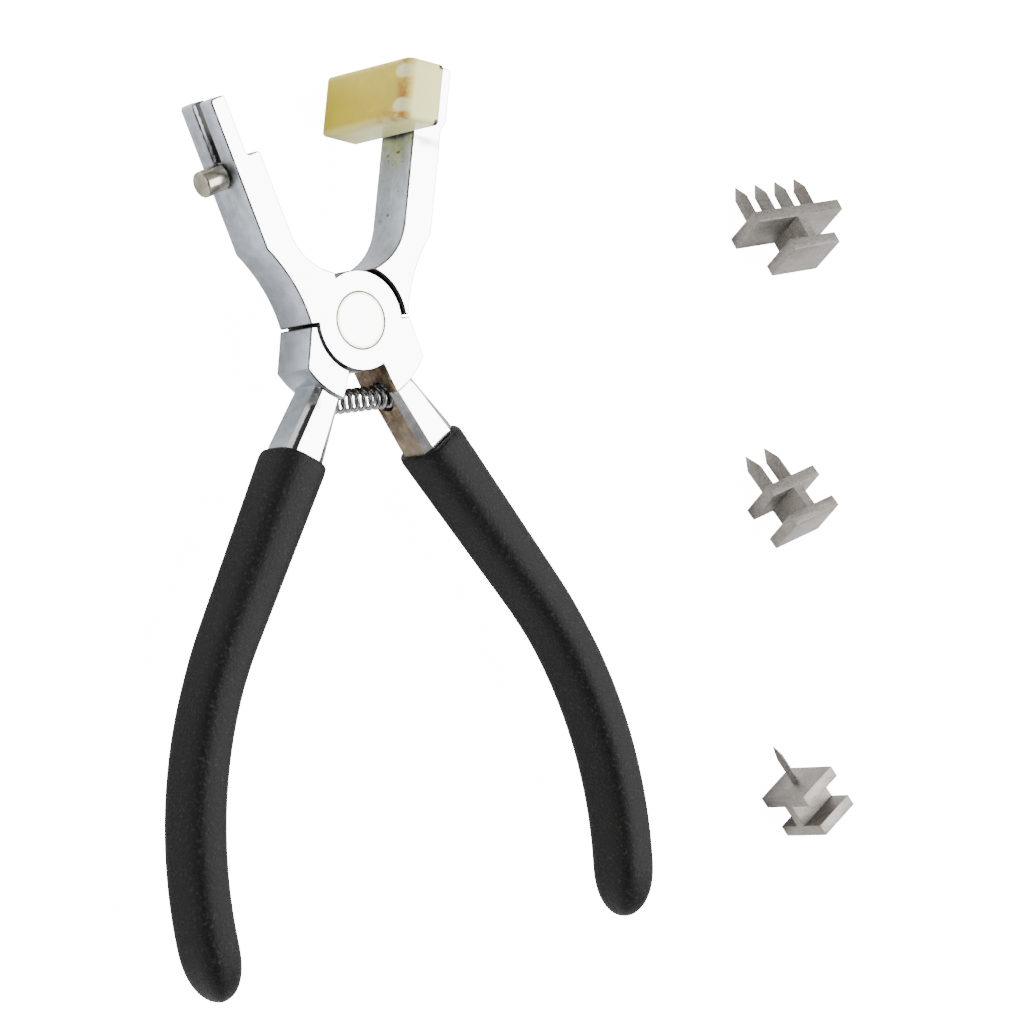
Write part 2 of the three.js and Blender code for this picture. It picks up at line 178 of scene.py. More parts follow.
def fade(tree, value, low, high, out_low=0.0, out_high=1.0):
    """Maps a value from low..high to out_low..out_high, held at both ends."""
    node = tree.nodes.new("ShaderNodeMapRange")
    node.inputs["From Min"].default_value = low
    node.inputs["From Max"].default_value = high
    node.inputs["To Min"].default_value = out_low
    node.inputs["To Max"].default_value = out_high
    tree.links.new(value, node.inputs["Value"])
    return node.outputs["Result"]


def bump(tree, shader, height, distance, strength):
    node = tree.nodes.new("ShaderNodeBump")
    node.inputs["Distance"].default_value = distance
    node.inputs["Strength"].default_value = strength
    tree.links.new(height, node.inputs["Height"])
    tree.links.new(node.outputs["Normal"], shader.inputs["Normal"])


def object_axes(tree):
    """The piece's own x, y and z, in metres."""
    coordinates = tree.nodes.new("ShaderNodeTexCoord")
    split = tree.nodes.new("ShaderNodeSeparateXYZ")
    tree.links.new(coordinates.outputs["Object"], split.inputs["Vector"])
    return split.outputs["X"], split.outputs["Y"], split.outputs["Z"]


def near_point(tree, point, radius, softness):
    """1 inside a ball around a point, fading to 0 over the softness."""
    coordinates = tree.nodes.new("ShaderNodeTexCoord")
    distance = tree.nodes.new("ShaderNodeVectorMath")
    distance.operation = "DISTANCE"
    distance.inputs[1].default_value = point
    tree.links.new(coordinates.outputs["Object"], distance.inputs[0])
    return fade(tree, distance.outputs["Value"], radius, radius + softness, 1.0, 0.0)


def facing(tree):
    """The x, y and z of the direction that the surface faces, in the piece's own axes."""
    geometry = tree.nodes.new("ShaderNodeNewGeometry")
    own_axes = tree.nodes.new("ShaderNodeVectorTransform")
    own_axes.vector_type = "NORMAL"
    own_axes.convert_from = "WORLD"
    own_axes.convert_to = "OBJECT"
    split = tree.nodes.new("ShaderNodeSeparateXYZ")
    tree.links.new(geometry.outputs["True Normal"], own_axes.inputs["Vector"])
    tree.links.new(own_axes.outputs["Vector"], split.inputs["Vector"])
    return split.outputs["X"], split.outputs["Y"], split.outputs["Z"]


def product(tree, *factors):
    result = factors[0]
    for factor in factors[1:]:
        result = maths(tree, "MULTIPLY", result, factor)
    return result


def measured_along(tree, direction):
    """How far the surface point lies from the pivot along a direction, in metres."""
    coordinates = tree.nodes.new("ShaderNodeTexCoord")
    dot = tree.nodes.new("ShaderNodeVectorMath")
    dot.operation = "DOT_PRODUCT"
    dot.inputs[1].default_value = direction
    tree.links.new(coordinates.outputs["Object"], dot.inputs[0])
    return dot.outputs["Value"]


def difference(tree, first, second):
    return maths(tree, "ABSOLUTE", maths(tree, "SUBTRACT", first, second))


class PlateSurface:
    """What the layers of the plate share: place, direction, distance from the pivot, and mottling."""

    def __init__(self, tree):
        self.x, self.y, self.z = object_axes(tree)
        self.face_x, _, face_z = facing(tree)
        self.flatness = maths(tree, "ABSOLUTE", face_z)
        self.side = fade(tree, self.flatness, 0.25, 0.55, 1.0, 0.0)
        self.mottle = object_noise(tree, 420, 6, 0.6)
        self.off_middle = difference(tree, self.z, pivot.z)
        squares = maths(tree, "ADD", product(tree, self.x, self.x), product(tree, self.y, self.y))
        self.from_axis = maths(tree, "SQRT", squares)
        self.on_right_jaw = fade(tree, self.x, 0, 0.001)


def clean_plate(tree, at):
    """Bright flats, and mottled sides painted darker and bluish as painted shade and reflection, with a
    painted highlight along the parting line where the forging dies met.
    """
    cloud = object_noise(tree, 75, 3, 0.5)
    flat_colour = ramp(tree, cloud, [(0.3, shade(0.92, (1, 0.995, 0.99))), (0.7, shade(0.96))])
    # The sides' darker, bluish colour is painted shade and reflection on the same chrome as the flats.
    painted_shade_side_colour = ramp(tree, at.mottle, [
        (0.25, shade(0.42, (0.87, 0.97, 1.10))),
        (0.5, shade(0.52, (0.88, 0.97, 1.09))),
        (0.78, shade(0.64, (0.92, 0.98, 1.06))),
    ])
    # A painted highlight along the real parting line, at the middle of the side faces.
    parting_line_highlight = product(
        tree, fade(tree, at.off_middle, 0.00006, 0.0002, 0.6, 0.0), fade(tree, at.y, 0.016, 0.02),
        fade(tree, object_noise(tree, 700, 4, 0.7), 0.42, 0.55),
    )
    painted_shade_side_colour = blend_colours(tree, parting_line_highlight, painted_shade_side_colour, shade(0.85))
    return blend_colours(tree, at.side, flat_colour, painted_shade_side_colour)


def painted_dark_edge_reflections(tree, at, plate):
    """Painted dark reflection on the narrow rounded edges of the jaws and joint, except around the rivet."""
    # Painted dark reflection: edges between flats and sides are made nearly black.
    edge = product(
        tree, fade(tree, at.flatness, 0.12, 0.3), fade(tree, at.flatness, 0.93, 0.99, 1, 0),
        fade(tree, at.y, -0.016, -0.013), fade(tree, object_noise(tree, 500, 3), 0.3, 0.5, 0.55, 0.95),
        fade(tree, at.from_axis, 0.0058, 0.0062, 0.12, 1.0),
    )
    return blend_colours(tree, edge, plate, shade(0.055))


def joint_oil_and_painted_shade(tree, at, plate):
    """Old oil and painted shade on the lapped faces inside the joint, and painted shade in the gap between
    the shoulders.
    """
    # Dark brown in the joint's recess: partly old oil, partly painted shade.
    joint_oil_and_shade = product(
        tree, fade(tree, at.from_axis, joint_reach, joint_reach + 0.0002, 1, 0),
        fade(tree, at.off_middle, lapped_height, lapped_height + 0.0004, 0.9, 0),
    )
    plate = blend_colours(tree, joint_oil_and_shade, plate, (0.11, 0.068, 0.042, 1))
    # Painted shade: the narrow gap between the two levers is made nearly black.
    gap_shade = product(
        tree, fade(tree, maths(tree, "ABSOLUTE", at.y), 0.00035, 0.00055, 0.97, 0.0),
        fade(tree, maths(tree, "ABSOLUTE", at.x), 0.0092, 0.0098),
    )
    return blend_colours(tree, gap_shade, plate, shade(0.02))


def right_jaw_pits_and_block_shadow(tree, at, plate):
    """Small pits on the inner side of the right jaw, and a painted grey shadow and reflection of the block
    on its flat under the block.
    """
    pits = product(
        tree, fade(tree, object_noise(tree, 620, 2, 0.4, place=(0.2, 0, 0)), 0.69, 0.73, 0, 0.8),
        at.side, at.on_right_jaw, fade(tree, at.y, 0.017, 0.020),
    )
    plate = blend_colours(tree, pits, plate, shade(0.09))
    up_jaw = measured_along(tree, jaw_along)
    # Painted shadow and reflection of the block: a grey band on the jaw's flat just under it.
    painted_block_shadow = product(
        tree, fade(tree, up_jaw, block_shadow_low, block_shadow_low + 0.0016, 0, 0.8),
        fade(tree, up_jaw, block_shadow_high, block_shadow_high + 0.0008, 1, 0), at.on_right_jaw,
        fade(tree, at.flatness, 0.93, 0.97),
        fade(tree, object_noise(tree, 380, 4, 0.6), 0.35, 0.55, 0.35, 1),
    )
    return blend_colours(tree, painted_block_shadow, plate, shade(0.33, (0.95, 0.98, 1.05)))


def oiled_necks(tree, at):
    """Where the inner side of each neck is oily, from under the disc to the grip."""
    which_side = fade(tree, at.x, -0.0002, 0.0002, -1, 1)
    inward = fade(tree, product(tree, at.face_x, which_side), -0.35, -0.2, 1, 0)
    below_disc = fade(tree, at.y, -0.0092, -0.0076, 1, 0)
    return product(tree, fade(tree, at.y, -0.0325, -0.029), below_disc, inward, at.side)


def old_oil(tree, at):
    """Oil and rust, thinner and lighter towards the grip."""
    oil = ramp(tree, object_noise(tree, 330, 5, 0.72, place=(0.03, 0.01, 0)), [
        (0.32, (0.030, 0.018, 0.010, 1)),
        (0.48, (0.13, 0.088, 0.052, 1)),
        (0.60, (0.25, 0.19, 0.125, 1)),
        (0.72, (0.36, 0.30, 0.22, 1)),
    ])
    return blend_colours(tree, fade(tree, at.y, -0.027, -0.017, 0.55, 0), oil, (0.40, 0.34, 0.26, 1))


def painted_neck_chamfer_light(tree, at, plate):
    """Painted shade on chamfers that face right; a painted highlight on the left-facing chamfer of the left
    neck and painted grey shade on that of the right neck, with a wavy dark line and a knot.
    """
    chamfer = product(tree, fade(tree, at.flatness, 0.35, 0.45), fade(tree, at.flatness, 0.93, 0.97, 1, 0))
    # Painted shade: the chamfers that face right are made dark.
    faces_right = product(
        tree, chamfer, fade(tree, at.y, -0.0165, -0.0155, 1, 0), fade(tree, at.face_x, 0.15, 0.3), 0.9,
    )
    plate = blend_colours(tree, faces_right, plate, shade(0.07))
    faces_left = product(
        tree, chamfer, fade(tree, at.y, -0.0150, -0.0142, 1, 0), fade(tree, at.face_x, -0.3, -0.15, 1, 0),
    )
    on_left_neck = fade(tree, at.x, -0.001, 0.001, 1, 0)
    # Painted highlight: the left-facing chamfer of the left neck is made nearly white.
    plate = blend_colours(tree, product(tree, faces_left, on_left_neck), plate, shade(0.98))
    on_right_neck = fade(tree, at.x, -0.001, 0.001)
    # Painted shade: the left-facing chamfer of the right neck is made mottled grey.
    right_neck_chamfer_shade = product(tree, faces_left, on_right_neck, fade(tree, at.mottle, 0.35, 0.6, 0.45, 0.75))
    plate = blend_colours(tree, right_neck_chamfer_shade, plate, shade(0.22, (0.98, 1, 1.02)))
    wavy_height = maths(tree, "ADD", at.z, product(tree, object_noise(tree, 700, 4, 0.65), 0.0007))
    near_flat = fade(tree, wavy_height, neck_line_height, neck_line_height + 0.00016, 0, 0.97)
    plate = blend_colours(tree, product(tree, faces_left, on_left_neck, near_flat), plate, shade(0.02))
    near_knot = near_point(tree, neck_knot, radius=0.0006, softness=0.0011)
    knot = product(tree, near_knot, fade(tree, at.mottle, 0.3, 0.6, 1, 0.5))
    return blend_colours(tree, knot, plate, (0.05, 0.04, 0.033, 1))


def slot_wall(tree, at):
    """The lower wall of the die slot, in the left jaw."""
    return product(
        tree, fade(tree, difference(tree, at.z, slot_wall_height), 0.0001, 0.0002, 1, 0),
        fade(tree, at.flatness, 0.9, 0.95), fade(tree, at.x, -0.002, -0.001, 1, 0),
    )


def slot_shade(tree, in_slot, plate):
    """Painted shade lies deep in the slot, and leaves its outer edge bright."""
    left_out = measured_along(tree, Vector((-jaw_out.x, jaw_out.y, 0)))
    ragged_out = maths(tree, "ADD", left_out, product(tree, object_noise(tree, 900, 3, 0.6), 0.0008))
    # Painted shade: the slot wall is made nearly black deeper than this reach.
    deep = fade(tree, ragged_out, slot_shade_reach, slot_shade_reach + 0.0002, 0.95, 0)
    return blend_colours(tree, product(tree, in_slot, deep), plate, shade(0.03))


def lever_chrome():
    """Bright plate, with the stains and wear of each place, and painted shade, highlights and reflections,
    laid over it in turn.
    """
    material, tree, shader = new_material("chrome_plate", 0.16, 1.0)
    at = PlateSurface(tree)
    necks = oiled_necks(tree, at)
    in_slot = slot_wall(tree, at)
    plate = painted_dark_edge_reflections(tree, at, clean_plate(tree, at))
    plate = joint_oil_and_painted_shade(tree, at, plate)
    plate = right_jaw_pits_and_block_shadow(tree, at, plate)
    plate = blend_colours(tree, necks, plate, old_oil(tree, at))
    plate = painted_neck_chamfer_light(tree, at, plate)
    plate = slot_shade(tree, in_slot, plate)
    tree.links.new(plate, shader.inputs["Base Color"])
    smooth = maths(tree, "ADD", fade(tree, at.mottle, 0.3, 0.7, 0.08, 0.15), product(tree, at.side, 0.2))
    worn = maths(tree, "ADD", product(tree, necks, 0.2), product(tree, in_slot, 0.45))
    tree.links.new(maths(tree, "ADD", smooth, worn), shader.inputs["Roughness"])
    fine = product(tree, object_noise(tree, 1500, 2), 0.12)
    bump(tree, shader, maths(tree, "ADD", object_noise(tree, 180, 3), fine), 0.00006, 0.5)
    return material


def dissolved_copy(node_name, angle=math.radians(0.6)):
    """A merged copy of a CAD solid, with each flat made one face again."""
    mesh = bmesh.new()
    mesh.from_mesh(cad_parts[node_name].data)
    bmesh.ops.remove_doubles(mesh, verts=mesh.verts, dist=0.000004)
    bmesh.ops.dissolve_limit(mesh, angle_limit=angle, verts=mesh.verts, edges=mesh.edges)
    return mesh


def round_sharp_edges(mesh, width, angle, segments=2):
    """Rounds every edge that is sharper than the angle, to the same width."""
    bmesh.ops.dissolve_degenerate(mesh, dist=width * 0.4, edges=mesh.edges)
    sharp = [
        edge for edge in mesh.edges
        if len(edge.link_faces) == 2 and edge.calc_face_angle(0) > angle
    ]
    bmesh.ops.bevel(
        mesh, geom=sharp, offset=width, offset_type="OFFSET", affect="EDGES", segments=segments,
        profile=0.5, material=-1, clamp_overlap=False,
    )


def finished_piece(mesh, name, material, smooth_angle=math.radians(30), flat_limit=2.0):
    """Turns a bmesh into a smooth-shaded object whose sharp edges and ground flats stay crisp."""
    bmesh.ops.remove_doubles(mesh, verts=mesh.verts, dist=0.000001)
    bmesh.ops.triangulate(mesh, faces=[face for face in mesh.faces if len(face.verts) > 4])
    for face in mesh.faces:
        face.smooth = abs(face.normal.z) < flat_limit
    for edge in mesh.edges:
        edge.smooth = len(edge.link_faces) != 2 or edge.calc_face_angle(0) < smooth_angle
    data = bpy.data.meshes.new(name)
    mesh.to_mesh(data)
    mesh.free()
    data.materials.append(material)
    piece = bpy.data.objects.new(name, data)
    bpy.context.scene.collection.objects.link(piece)
    return piece


def round_jaw_corners(mesh, side, stations):
    """Rounds the upright corners at the jaw's tip and at its ledge; side is -1 on the left."""
    along_jaw = Vector((jaw_along.x * side, jaw_along.y, 0))

    def stands_at(edge):
        first, second = (vertex.co for vertex in edge.verts)
        upright_edge = abs(first.z - second.z) > 0.9 * (first - second).length
        return upright_edge and any(abs(first.dot(along_jaw) - station) < 0.0001 for station in stations)

    corners = [edge for edge in mesh.edges if stands_at(edge) and edge.calc_face_angle(0) > math.radians(60)]
    bmesh.ops.bevel(
        mesh, geom=corners, offset=corner_round, offset_type="OFFSET", affect="EDGES", segments=4,
        profile=0.5, material=-1, clamp_overlap=False,
    )


chrome = lever_chrome()
# For each lever: its side, and how far up the jaw its rounded corners stand.
jaw_corners = {
    "front_lever": (-1, (left_jaw_tip, seat_ledge)),
    "rear_lever": (1, (right_jaw_tip,)),
}
for lever_node, lever_body in (("front_lever", "front_side"), ("rear_lever", "rear_side")):
    lever_mesh = dissolved_copy(lever_node)
    round_jaw_corners(lever_mesh, *jaw_corners[lever_node])
    round_sharp_edges(lever_mesh, lever_edge_round, lever_edge_angle)
    lever = finished_piece(lever_mesh, lever_node + "_plated", chrome, flat_limit=0.999)
    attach(lever, lever_body)
    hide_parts(lever_node)


# Pivot rivet: a plain steel pin, pressed through both discs, its ends peened and then ground flush
# with the flats. Only the fine ring where it meets the plate shows, warmed by oil in the joint.
rivet_low, rivet_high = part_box("pivot_rivet")
rivet_radius = (rivet_high.x - rivet_low.x) / 2
# The peened ends fill the rounded mouths of the holes.
peened_radius = rivet_radius + lever_edge_round
rivet_edge = 0.00008
rivet_steps = 96
turning_ring_spacing = 0.00035


def turned_profile(mesh, corners, steps):
    """A closed turned shape from (radius, height) corners that start and end on the axis."""
    made = [mesh.verts.new(Vector((radius, 0, height))) for radius, height in corners]
    edges = [mesh.edges.new(pair) for pair in zip(made, made[1:])]
    bmesh.ops.spin(
        mesh, geom=made + edges, cent=(0, 0, 0), axis=(0, 0, 1), dvec=(0, 0, 0), angle=2 * math.pi,
        steps=steps, use_merge=True, use_duplicate=False,
    )
    bmesh.ops.remove_doubles(mesh, verts=mesh.verts, dist=0.000003)
    bmesh.ops.recalc_face_normals(mesh, faces=mesh.faces)


def rivet_steel():
    """Ground steel with faint turning rings and a little warmth at the rim."""
    material, tree, shader = new_material("rivet_steel", 0.18, 1.0)
    coordinates = tree.nodes.new("ShaderNodeTexCoord")
    flatten = tree.nodes.new("ShaderNodeVectorMath")
    flatten.operation = "MULTIPLY"
    flatten.inputs[1].default_value = (1, 1, 0)
    length = tree.nodes.new("ShaderNodeVectorMath")
    length.operation = "LENGTH"
    tree.links.new(coordinates.outputs["Object"], flatten.inputs[0])
    tree.links.new(flatten.outputs["Vector"], length.inputs[0])
    distance = length.outputs["Value"]
    rim = fade(tree, distance, rivet_radius * 0.93, rivet_radius * 0.985)
    face = ramp(tree, object_noise(tree, 160, 4), [
        (0.3, (0.90, 0.885, 0.87, 1)),
        (0.7, (0.95, 0.94, 0.93, 1)),
    ])
    tree.links.new(blend_colours(tree, rim, face, (0.60, 0.50, 0.38, 1)), shader.inputs["Base Color"])
    rings = maths(tree, "SINE", product(tree, distance, 2 * math.pi / turning_ring_spacing))
    bump(tree, shader, rings, 0.000001, 0.25)
    return material


rivet_mesh = bmesh.new()
turned_profile(rivet_mesh, [
    (0, rivet_low.z),
    (peened_radius - rivet_edge, rivet_low.z),
    (peened_radius, rivet_low.z + rivet_edge),
    (peened_radius, rivet_high.z - rivet_edge),
    (peened_radius - rivet_edge, rivet_high.z),
    (0, rivet_high.z),
], rivet_steps)
rivet = finished_piece(rivet_mesh, "pivot_rivet_pin", rivet_steel())
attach(rivet, "rear_side")
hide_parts("pivot_rivet")


# Return spring: a compression coil of bright drawn wire, seated in a blind pocket in each neck.
# It pushes the handles apart, and would shorten between the pockets as they close; here it is one fixed
# coil.
spring_low, spring_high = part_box("return_spring")
spring_wire = 0.00047
spring_turns = 11.5
spring_centre = (spring_low + spring_high) / 2
spring_coil_radius = (spring_high.z - spring_low.z) / 2 - spring_wire
spring_reach = (spring_high.x - spring_low.x) / 2 - spring_wire
steps_per_turn = 28


def spring_wire_steel():
    material, tree, shader = new_material("spring_wire", 0.2, 1.0)
    streak = object_noise(tree, 900, 4)
    colour = ramp(tree, streak, [(0.3, shade(0.16, (1, 1, 1.02))), (0.7, shade(0.42, (1, 1, 1.01)))])
    tree.links.new(colour, shader.inputs["Base Color"])
    tree.links.new(fade(tree, streak, 0.3, 0.7, 0.15, 0.27), shader.inputs["Roughness"])
    bump(tree, shader, object_noise(tree, 2500, 2), 0.00001, 0.4)
    return material


spring_mesh = bmesh.new()
wire_section = bmesh.ops.create_circle(spring_mesh, cap_ends=False, radius=spring_wire, segments=12)["verts"]
stand = Matrix.Translation((-spring_reach, spring_coil_radius, 0))
bmesh.ops.transform(spring_mesh, matrix=stand, verts=wire_section)
spin_steps = round(spring_turns * steps_per_turn)
bmesh.ops.spin(
    spring_mesh, geom=list(spring_mesh.verts) + list(spring_mesh.edges), cent=(0, 0, 0), axis=(1, 0, 0),
    dvec=(2 * spring_reach / spin_steps, 0, 0), angle=2 * math.pi * spring_turns, steps=spin_steps,
    use_merge=False, use_duplicate=False,
)
bmesh.ops.holes_fill(spring_mesh, edges=[edge for edge in spring_mesh.edges if edge.is_boundary], sides=0)
bmesh.ops.translate(spring_mesh, verts=spring_mesh.verts, vec=spring_centre)
bmesh.ops.recalc_face_normals(spring_mesh, faces=spring_mesh.faces)
spring = finished_piece(spring_mesh, "return_spring_coil", spring_wire_steel(), math.radians(60))
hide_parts("return_spring")
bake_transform(spring)


# Die lock screw: a turned, nickel-plated pin screw through the outside of the slotted jaw. It
# clamps the web of the die, and its plain round head is turned by finger.
def nickel_plate():
    material, tree, shader = new_material("warm_nickel", 0.2, 1.0)
    cloud = object_noise(tree, 330, 5, 0.6)
    colour = ramp(tree, cloud, [
        (0.3, (0.25, 0.222, 0.17, 1)),
        (0.55, (0.40, 0.365, 0.295, 1)),
        (0.75, (0.56, 0.52, 0.44, 1)),
    ])
    tree.links.new(colour, shader.inputs["Base Color"])
    tree.links.new(fade(tree, cloud, 0.3, 0.7, 0.16, 0.32), shader.inputs["Roughness"])
    bump(tree, shader, object_noise(tree, 2200, 3), 0.00001, 0.5)
    return material


nickel = nickel_plate()
turned_edge_angle = math.radians(35)
lock_edge_round = 0.00016
lock_mesh = dissolved_copy("die_lock_screw", math.radians(1))
round_sharp_edges(lock_mesh, lock_edge_round, turned_edge_angle, 3)
lock_screw = finished_piece(lock_mesh, "die_lock_pin", nickel)
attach(lock_screw, "lock_screw")
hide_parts("die_lock_screw")


# Anvil screws: two slotted countersunk-flush screws through the back of the jaw head, which hold
# the block. They are nickel plated like the lock screw.
screw_edge_round = 0.00012
for screw_node in ("anvil_screw_upper", "anvil_screw_lower"):
    screw_mesh = dissolved_copy(screw_node, math.radians(1))
    round_sharp_edges(screw_mesh, screw_edge_round, turned_edge_angle)
    anvil_screw = finished_piece(screw_mesh, screw_node + "_plated", nickel)
    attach(anvil_screw, "rear_side")
    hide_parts(screw_node)


# Anvil block: a moulded bar of translucent amber nylon, which takes the prong tips without blunting
# them. It is screwed on from behind, and the screw ends show as pale spots with rusty bleed.
block_edge_round = 0.0008
block_front_round = 0.0019
block_low, block_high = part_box("anvil_block")
block_bottom = 0.0384
block_length = 0.012
working_face = -0.0009
block_thickness = 0.0084
spot_stations = (block_bottom + 0.0026, block_bottom + 0.0094)
spot_height = 0.0184
spot_half_length = 0.0015
spot_half_height = 0.0030


def block_point(along, out, height):
    return jaw_along * along + jaw_out * out + Vector((0, 0, height))


class BlockSurface:
    """What the layers of the nylon share: place, and distance from the nearest edges."""

    def __init__(self, tree):
        self.out = measured_along(tree, jaw_out)
        self.along = measured_along(tree, jaw_along)
        self.height = measured_along(tree, (0, 0, 1))
        self.from_ends = maths(
            tree, "MINIMUM",
            maths(tree, "SUBTRACT", self.along, block_bottom),
            maths(tree, "SUBTRACT", block_bottom + block_length, self.along),
        )
        self.from_flats = maths(
            tree, "MINIMUM",
            maths(tree, "SUBTRACT", self.height, block_low.z),
            maths(tree, "SUBTRACT", block_high.z, self.height),
        )
        self.near_face = fade(tree, self.out, working_face + 0.0004, working_face + 0.0026, 1, 0)


def clean_nylon(tree, at):
    """Amber at the working face and paler behind it, with light rims."""
    cloud = object_noise(tree, 140, 4, 0.5)
    amber = ramp(tree, cloud, [(0.3, (0.61, 0.475, 0.020, 1)), (0.7, (0.72, 0.575, 0.030, 1))])
    pale = ramp(tree, cloud, [(0.3, (0.80, 0.91, 0.50, 1)), (0.7, (0.89, 0.98, 0.60, 1))])
    depth = fade(tree, at.out, working_face + 0.0015, working_face + 0.0022)
    colour = blend_colours(tree, depth, amber, pale)
    rim = fade(tree, maths(tree, "MINIMUM", at.from_ends, at.from_flats), 0.0003, 0.0014, 0.8, 0.0)
    return blend_colours(tree, rim, colour, (0.88, 0.80, 0.26, 1))


def rusty_bleed(tree, at, colour):
    """Rust from the screws, on the front edge and along the bottom of the working face."""
    ragged = fade(tree, object_noise(tree, 520, 5, 0.7), 0.36, 0.6)
    front_band = product(
        tree, fade(tree, at.height, 0.0160, 0.0176), fade(tree, at.height, 0.0190, 0.0202, 1, 0),
    )
    bottom_band = product(
        tree, fade(tree, at.along, block_bottom + 0.0011, block_bottom + 0.0029, 1, 0),
        fade(tree, at.height, 0.007, 0.015), 0.8,
    )
    bands = maths(tree, "MAXIMUM", front_band, bottom_band)
    bleed = product(tree, bands, ragged, at.near_face, 0.85)
    return blend_colours(tree, bleed, colour, (0.46, 0.16, 0.012, 1))


def screw_spots(tree, at, colour):
    """The nylon is pale where the two screw ends stand under it."""
    for station in spot_stations:
        along = maths(tree, "DIVIDE", maths(tree, "SUBTRACT", at.along, station), spot_half_length)
        up = maths(tree, "DIVIDE", maths(tree, "SUBTRACT", at.height, spot_height), spot_half_height)
        distance = maths(tree, "ADD", product(tree, along, along), product(tree, up, up))
        spot = product(tree, fade(tree, distance, 0.45, 1.1, 0.85, 0), at.near_face)
        colour = blend_colours(tree, spot, colour, (0.95, 0.93, 0.50, 1))
    return colour


def seam_shade(tree, at, colour):
    """A thin line of painted shade in the seam against the jaw head, thicker at the two front corners."""
    to_seat = maths(tree, "SUBTRACT", working_face + block_thickness, at.out)
    # Painted shade: the block's edge against the jaw head is made nearly black.
    seam = fade(tree, to_seat, 0.00032, 0.00046, 0.85, 0)
    corner = product(
        tree, fade(tree, to_seat, 0.0011, 0.0014, 1, 0), fade(tree, at.from_ends, 0.0009, 0.0012, 1, 0),
        fade(tree, at.height, 0.0170, 0.0180),
    )
    return blend_colours(tree, maths(tree, "MAXIMUM", seam, corner), colour, shade(0.012))


def amber_nylon():
    """Translucent amber, with its rust, pale spots and painted seam shade laid over it in turn."""
    material, tree, shader = new_material("amber_nylon", 0.34, 0.0)
    at = BlockSurface(tree)
    colour = rusty_bleed(tree, at, clean_nylon(tree, at))
    colour = seam_shade(tree, at, screw_spots(tree, at, colour))
    tree.links.new(colour, shader.inputs["Base Color"])
    shader.inputs["Subsurface Weight"].default_value = 0.1
    shader.inputs["Subsurface Radius"].default_value = (1.0, 0.8, 0.35)
    shader.inputs["Subsurface Scale"].default_value = 0.003
    shader.inputs["Specular IOR Level"].default_value = 0.35
    bump(tree, shader, object_noise(tree, 700, 4), 0.00003, 0.4)
    return material


block_mesh = bmesh.new()
bmesh.ops.create_cube(block_mesh, size=1)
block_outer = working_face + block_thickness
block_size = (block_length, block_thickness, block_high.z - block_low.z)
bmesh.ops.scale(block_mesh, verts=block_mesh.verts, vec=block_size)
block_axes = Matrix((jaw_along, jaw_out, Vector((0, 0, 1)))).transposed().to_4x4()
block_middle = block_point(
    block_bottom + block_length / 2, (working_face + block_outer) / 2, (block_low.z + block_high.z) / 2,
)
bmesh.ops.transform(block_mesh, matrix=Matrix.Translation(block_middle) @ block_axes, verts=block_mesh.verts)
bmesh.ops.recalc_face_normals(block_mesh, faces=block_mesh.faces)


def at_working_front(edge):
    """The long-rounded edge, where the working face meets the front."""
    return all(
        vertex.co.z > block_high.z - 0.0001 and vertex.co.dot(jaw_out) < working_face + 0.0001
        for vertex in edge.verts
    )


front_edge = [edge for edge in block_mesh.edges if at_working_front(edge)]
bmesh.ops.bevel(
    block_mesh, geom=front_edge, offset=block_front_round, offset_type="OFFSET", affect="EDGES", segments=8,
    profile=0.5, material=-1,
)
round_sharp_edges(block_mesh, block_edge_round, math.radians(55), 5)
block = finished_piece(block_mesh, "anvil_block_nylon", amber_nylon(), math.radians(40))
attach(block, "rear_side")
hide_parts("anvil_block")


# Grips: black vinyl, made by dipping each hot handle, so the sleeve has a soft rolled rim, a fine
# pebbled skin and a rounded closed end that is slightly drawn out where the last drop hung.
handle_angle = math.radians(32.4)
handle_offset = 0.0002
handle_straight = 0.066
handle_bend_radius = 0.090
grip_start = 0.0293
grip_end = 0.1355
grip_width = (0.0109, 0.0090)
grip_depth = (0.0136, 0.0126)
grip_taper_length = 0.0467
grip_tip_length = 0.011
grip_rim_length = 0.0016
grip_bore = 0.80
grip_bore_depth = 0.004
grip_rings = 88
grip_corners = 40


def handle_frame(station, side):
    """Centre and outward direction of the handle at a distance from the pivot; side is 1 or -1."""
    turn = max(0.0, station - handle_straight) / handle_bend_radius
    angle = handle_angle - turn
    outwards = Vector((math.cos(angle), math.sin(angle), 0))
    start_out = Vector((math.cos(handle_angle), math.sin(handle_angle), 0))
    start_down = Vector((math.sin(handle_angle), -math.cos(handle_angle), 0))
    centre = start_down * min(station, handle_straight)
    centre += start_out * (handle_offset - (handle_bend_radius if turn else 0))
    if turn:
        centre += outwards * handle_bend_radius
    return Vector((centre.x * side, centre.y, pivot.z)), Vector((outwards.x * side, outwards.y, 0))


def grip_swell(station):
    """Width and depth scale: the rolled rim, the taper, and the rounded tip."""
    from_rim = min(1.0, (station - grip_start) / grip_rim_length)
    into_tip = max(0.0, (station - (grip_end - grip_tip_length)) / grip_tip_length)
    rim = 0.93 + 0.07 * math.sqrt(max(0.0, 1 - (1 - from_rim) ** 2))
    tip = math.sqrt(max(0.0, 1 - 0.985 * into_tip ** 2.4))
    tapered = min(1.0, (station - grip_start) / grip_taper_length)
    width = grip_width[0] + (grip_width[1] - grip_width[0]) * tapered
    depth = grip_depth[0] + (grip_depth[1] - grip_depth[0]) * tapered
    return rim * tip * width / 2, rim * tip * depth / 2


